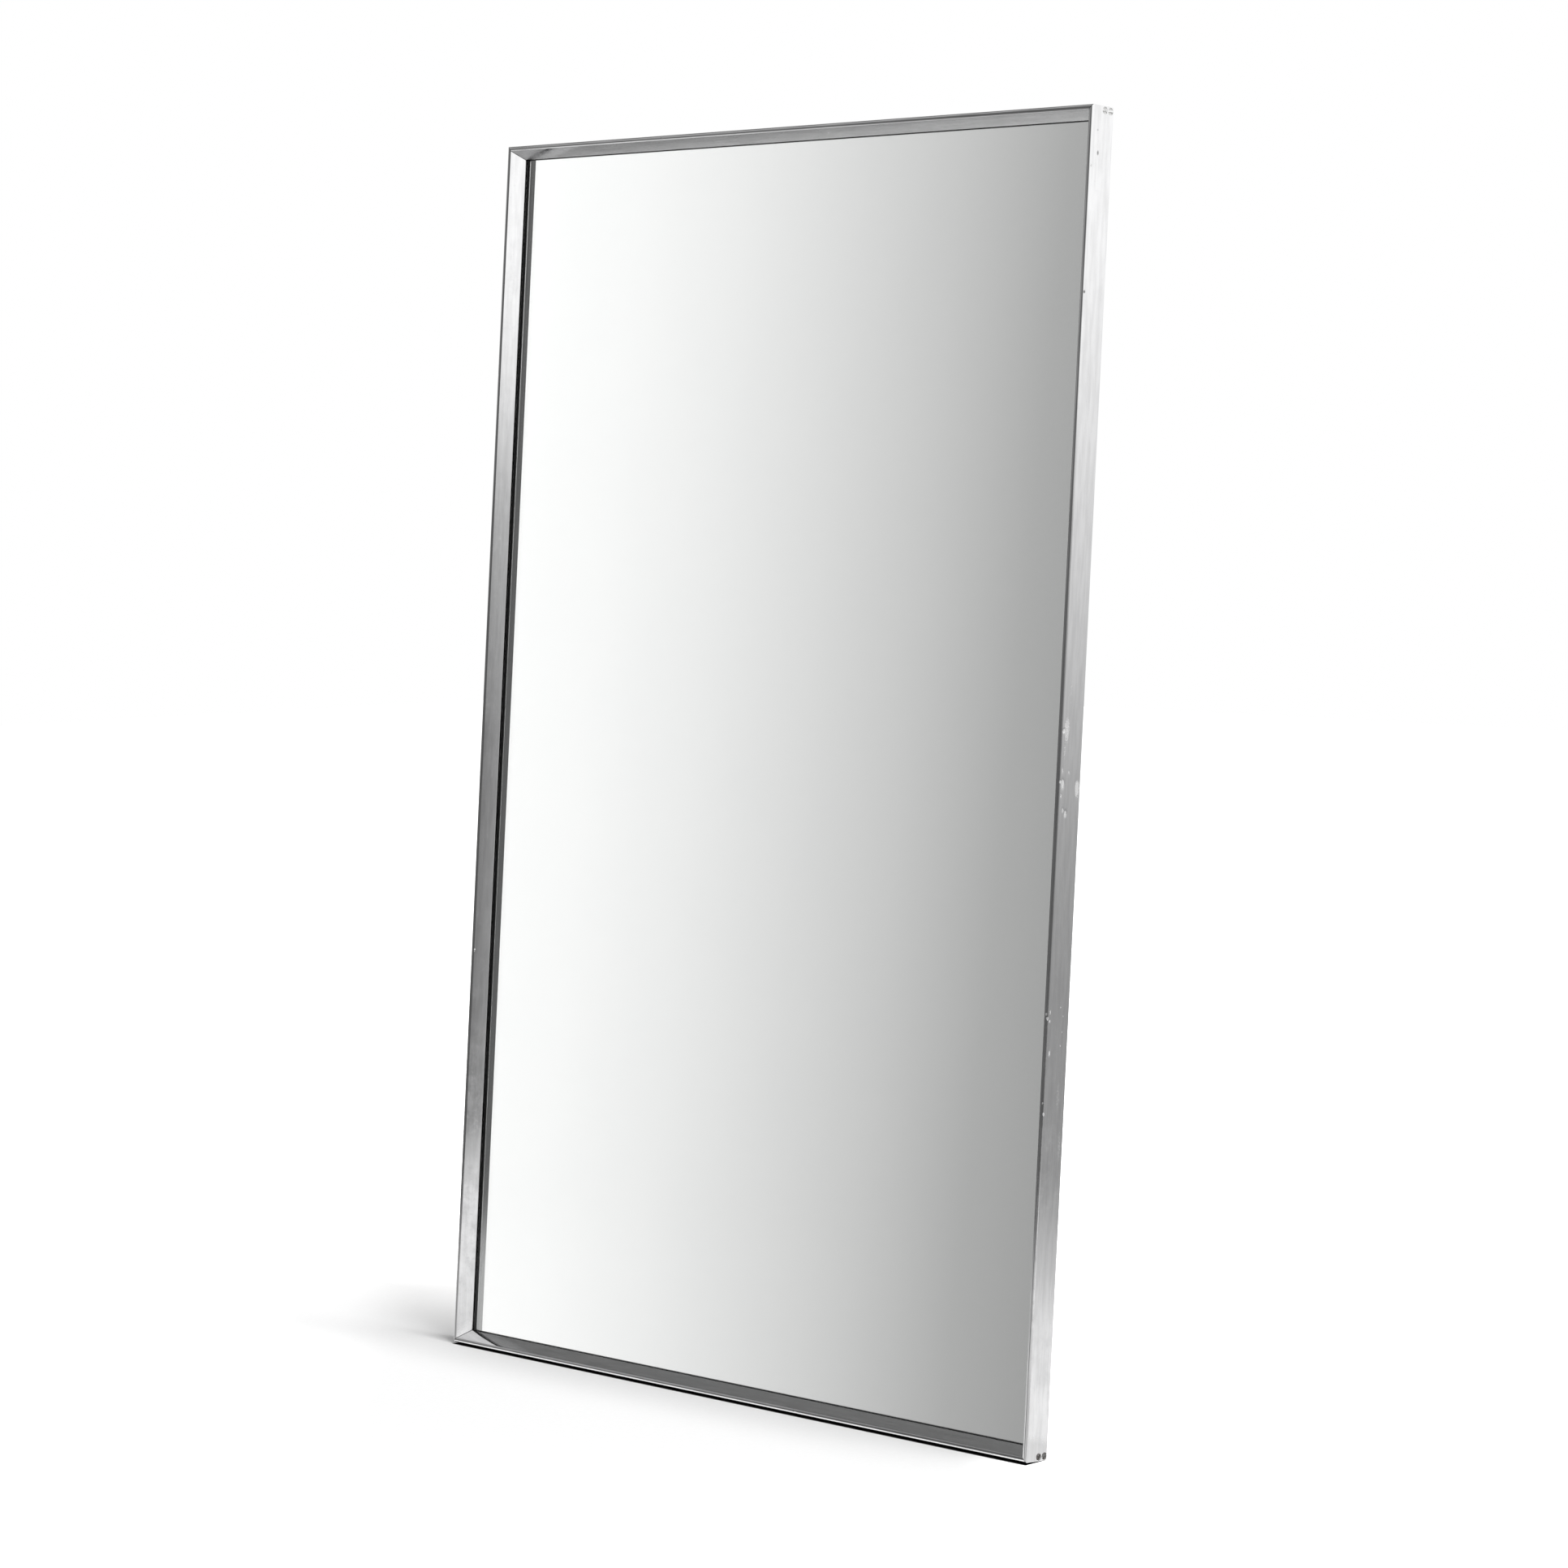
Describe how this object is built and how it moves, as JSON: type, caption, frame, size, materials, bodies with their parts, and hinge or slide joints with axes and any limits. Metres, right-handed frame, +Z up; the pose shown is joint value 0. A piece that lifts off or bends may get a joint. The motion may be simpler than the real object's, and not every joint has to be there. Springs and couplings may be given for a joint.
{
  "type": "wall mirror",
  "caption": "Tall rectangular wall mirror in a slim mitred metal frame with an inward sloping inner face, silvered glass, a hardboard back and keyhole hangers.",
  "frame": {"origin": "on the wall plane, midway between the round entries of the two keyholes", "axes": "+Z up, +X to the right as seen from in front, +Y back into the wall, so the mirror faces -Y"},
  "size_m": [0.7614, 0.0285, 1.2],
  "materials": {
    "frame_metal": "polished, with light wear",
    "screw_steel": "bright plated, dulled in the slot",
    "mirror_glass": "clear float glass",
    "mirror_silver": "silvered, painted at the back",
    "strip_rubber": "matt black",
    "hardboard": "smooth brown hardboard",
    "packer_plastic": "matt",
    "spring_steel": "blued spring steel",
    "hanger_steel": "zinc plated"
  },
  "bodies": {
    "root": {"top_rail": "frame_metal", "bottom_rail": "frame_metal", "left_stile": "frame_metal", "right_stile": "frame_metal", "corner_screws_top_left": "screw_steel", "corner_screws_top_right": "screw_steel", "corner_screws_bottom_left": "screw_steel", "corner_screws_bottom_right": "screw_steel", "glass_pane": "mirror_glass", "silver_coat": "mirror_silver", "glazing_strip_top": "strip_rubber", "glazing_strip_bottom": "strip_rubber", "glazing_strip_left": "strip_rubber", "glazing_strip_right": "strip_rubber", "backing_board": "hardboard", "setting_packers": "packer_plastic", "side_packers_left": "packer_plastic", "side_packers_right": "packer_plastic", "spring_clips_top": "spring_steel", "spring_clips_bottom": "spring_steel", "spring_clips_left": "spring_steel", "spring_clips_right": "spring_steel", "hanger_left": "hanger_steel", "hanger_right": "hanger_steel", "hanger_screws_left": "hanger_steel", "hanger_screws_right": "hanger_steel"}
  },
  "joints": []
}
